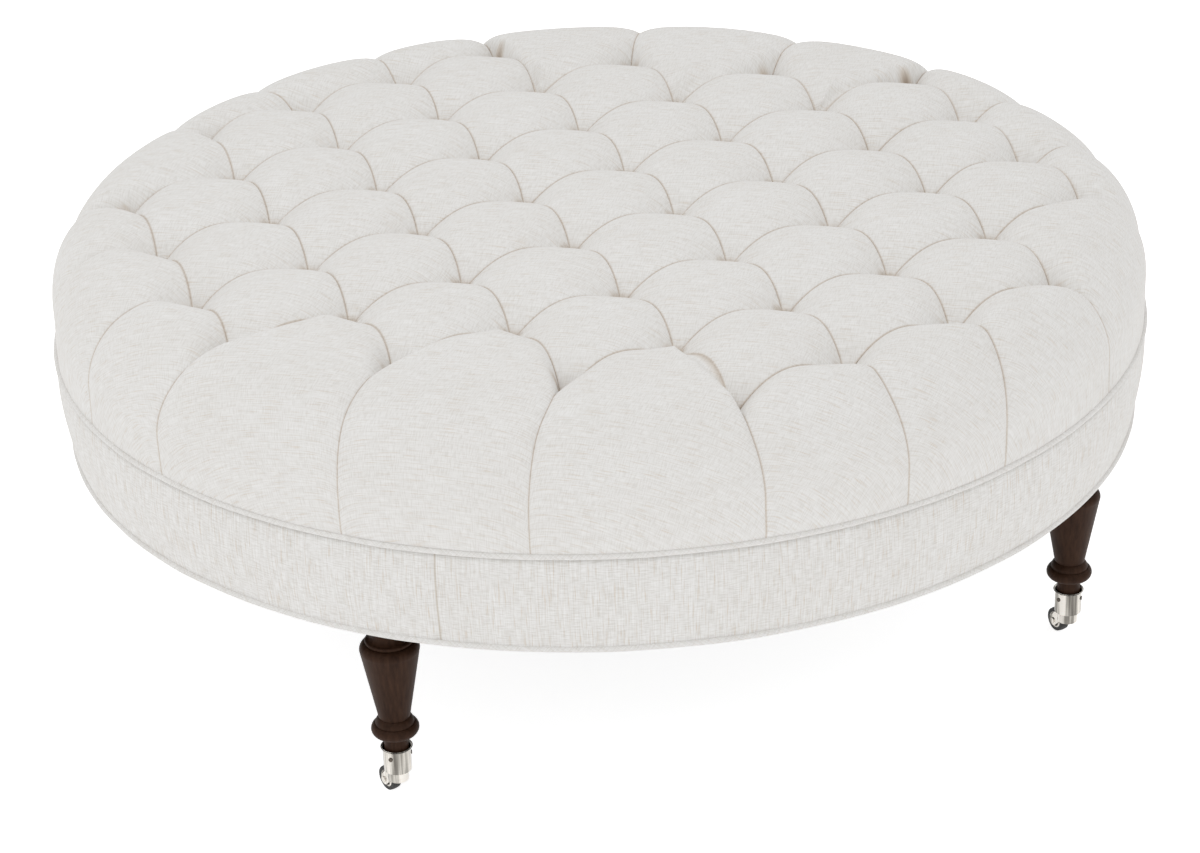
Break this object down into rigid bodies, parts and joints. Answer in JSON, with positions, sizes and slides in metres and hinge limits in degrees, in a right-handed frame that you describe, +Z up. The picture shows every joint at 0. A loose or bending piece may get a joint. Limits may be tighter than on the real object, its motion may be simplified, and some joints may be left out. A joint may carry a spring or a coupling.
{
  "type": "ottoman coffee table",
  "caption": "Round upholstered ottoman coffee table with a deep diamond-tufted top, a plain welted band and turned wooden legs on swivelling cup casters.",
  "frame": {"origin": "on the floor, under the middle of the round top", "axes": "+Z up, +X to the right and -Y to the front; the legs stand on the diagonals"},
  "size_m": [1.2336, 1.2338, 0.471],
  "materials": {
    "linen": "matte slubby off-white linen weave",
    "foam": "open-cell upholstery foam",
    "wadding": "white polyester fibre wadding",
    "twine": "waxed upholstery twine",
    "dust_cloth": "black non-woven dust cloth",
    "plywood": "raw birch plywood",
    "frame_wood": "raw sawn hardwood",
    "leg_wood": "dark walnut stain, satin lacquer",
    "nickel": "brushed nickel plate",
    "steel": "zinc-plated steel",
    "rubber": "hard black rubber"
  },
  "bodies": {
    "root": {"tufted_cover": "linen", "top_welt": "linen", "bottom_welt": "linen", "band_cover": "linen", "tuft_buttons": "linen", "foam_core": "foam", "wadding": "wadding", "tuft_twine": "twine", "tuft_washers": "steel", "deck_board": "plywood", "deck_screws": "steel", "apron_ring": "plywood", "bottom_ring": "plywood", "ring_screws": "steel", "cross_rail_lower": "frame_wood", "cross_rail_upper": "frame_wood", "band_padding": "wadding", "dust_cover": "dust_cloth", "dust_cover_staples": "steel", "hanger_bolts": "steel", "tee_nuts": "steel", "kingpins": "steel", "cup_screws": "nickel", "leg_front_left": "leg_wood", "leg_block_front_left": "frame_wood", "caster_cup_front_left": "nickel", "leg_front_right": "leg_wood", "leg_block_front_right": "frame_wood", "caster_cup_front_right": "nickel", "leg_back_right": "leg_wood", "leg_block_back_right": "frame_wood", "caster_cup_back_right": "nickel", "leg_back_left": "leg_wood", "leg_block_back_left": "frame_wood", "caster_cup_back_left": "nickel"},
    "swivel_front_left": {"caster_horn_front_left": "nickel", "caster_axle_front_left": "nickel"},
    "wheel_front_left": {"caster_hub_front_left": "nickel", "caster_tyre_front_left": "rubber"},
    "swivel_front_right": {"caster_horn_front_right": "nickel", "caster_axle_front_right": "nickel"},
    "wheel_front_right": {"caster_hub_front_right": "nickel", "caster_tyre_front_right": "rubber"},
    "swivel_back_right": {"caster_horn_back_right": "nickel", "caster_axle_back_right": "nickel"},
    "wheel_back_right": {"caster_hub_back_right": "nickel", "caster_tyre_back_right": "rubber"},
    "swivel_back_left": {"caster_horn_back_left": "nickel", "caster_axle_back_left": "nickel"},
    "wheel_back_left": {"caster_hub_back_left": "nickel", "caster_tyre_back_left": "rubber"}
  },
  "joints": [
    {"name": "swivel_front_left", "type": "hinge", "parent": "root", "child": "swivel_front_left", "pos_m": [-0.39669, -0.39669, 0.0285], "axis": [0, 0, 1], "continuous": true},
    {"name": "wheel_front_left", "type": "hinge", "parent": "swivel_front_left", "child": "wheel_front_left", "pos_m": [-0.40166, -0.38043, 0.01375], "axis": [-0.9563, -0.2924, 0], "continuous": true},
    {"name": "swivel_front_right", "type": "hinge", "parent": "root", "child": "swivel_front_right", "pos_m": [0.39669, -0.39669, 0.0285], "axis": [0, 0, 1], "continuous": true},
    {"name": "wheel_front_right", "type": "hinge", "parent": "swivel_front_right", "child": "wheel_front_right", "pos_m": [0.39462, -0.37981, 0.01375], "axis": [-0.9925, -0.1219, 0], "continuous": true},
    {"name": "swivel_back_right", "type": "hinge", "parent": "root", "child": "swivel_back_right", "pos_m": [0.39669, 0.39669, 0.0285], "axis": [0, 0, 1], "continuous": true},
    {"name": "wheel_back_right", "type": "hinge", "parent": "swivel_back_right", "child": "wheel_back_right", "pos_m": [0.38553, 0.40952, 0.01375], "axis": [-0.7547, -0.6561, 0], "continuous": true},
    {"name": "swivel_back_left", "type": "hinge", "parent": "root", "child": "swivel_back_left", "pos_m": [-0.39669, 0.39669, 0.0285], "axis": [0, 0, 1], "continuous": true},
    {"name": "wheel_back_left", "type": "hinge", "parent": "swivel_back_left", "child": "wheel_back_left", "pos_m": [-0.39521, 0.41362, 0.01375], "axis": [-0.9962, 0.0872, 0], "continuous": true}
  ]
}
